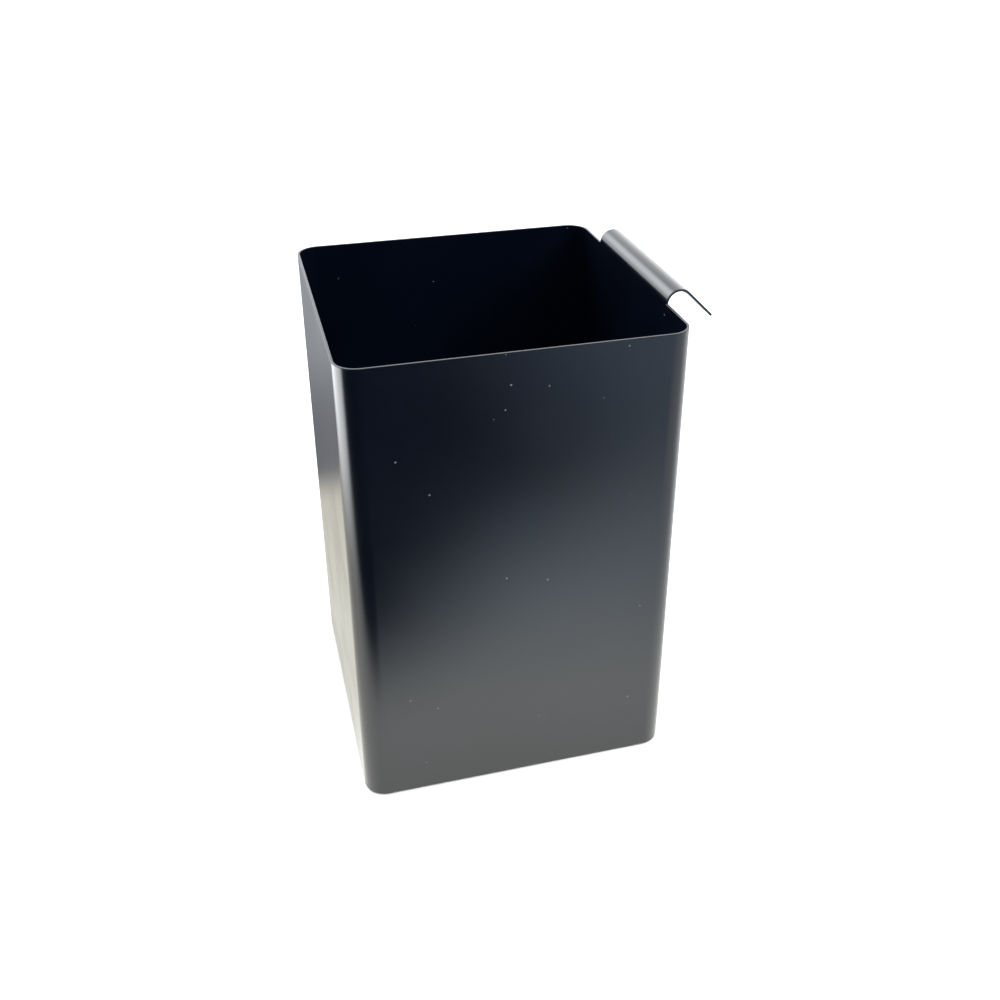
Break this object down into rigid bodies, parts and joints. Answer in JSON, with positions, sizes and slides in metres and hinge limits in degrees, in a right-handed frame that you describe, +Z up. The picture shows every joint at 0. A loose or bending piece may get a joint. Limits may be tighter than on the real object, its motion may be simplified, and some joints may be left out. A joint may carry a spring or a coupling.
{
  "type": "waste bin",
  "caption": "Square open-topped waste bin of black coated sheet steel, with rounded upright corners, a welded base and a broad tab curled outwards from one wall as a hanging hook.",
  "frame": {"origin": "on the floor under the bin, below the middle of its whole outline seen from above, hook included, so the middle of the square walls is 14.3 mm towards -X", "axes": "+Z up, +X towards the wall with the hook and away from the wall with the seam weld, +Y towards the rear"},
  "size_m": [0.2286, 0.2, 0.3085],
  "materials": {
    "powder_coat": "satin black powder coat on mild steel sheet, fine even texture",
    "coated_weld": "weld metal under the same satin black powder coat",
    "pad_rubber": "matt black rubber"
  },
  "bodies": {
    "root": {"wall_shell": "powder_coat", "wall_seam_weld": "coated_weld", "base_pan": "powder_coat", "base_weld_hook_side_1": "coated_weld", "base_weld_hook_side_2": "coated_weld", "base_weld_rear_1": "coated_weld", "base_weld_rear_2": "coated_weld", "base_weld_far_side_1": "coated_weld", "base_weld_far_side_2": "coated_weld", "base_weld_front_1": "coated_weld", "base_weld_front_2": "coated_weld", "foot_pad_front_left": "pad_rubber", "foot_pad_front_right": "pad_rubber", "foot_pad_rear_left": "pad_rubber", "foot_pad_rear_right": "pad_rubber"}
  },
  "joints": []
}
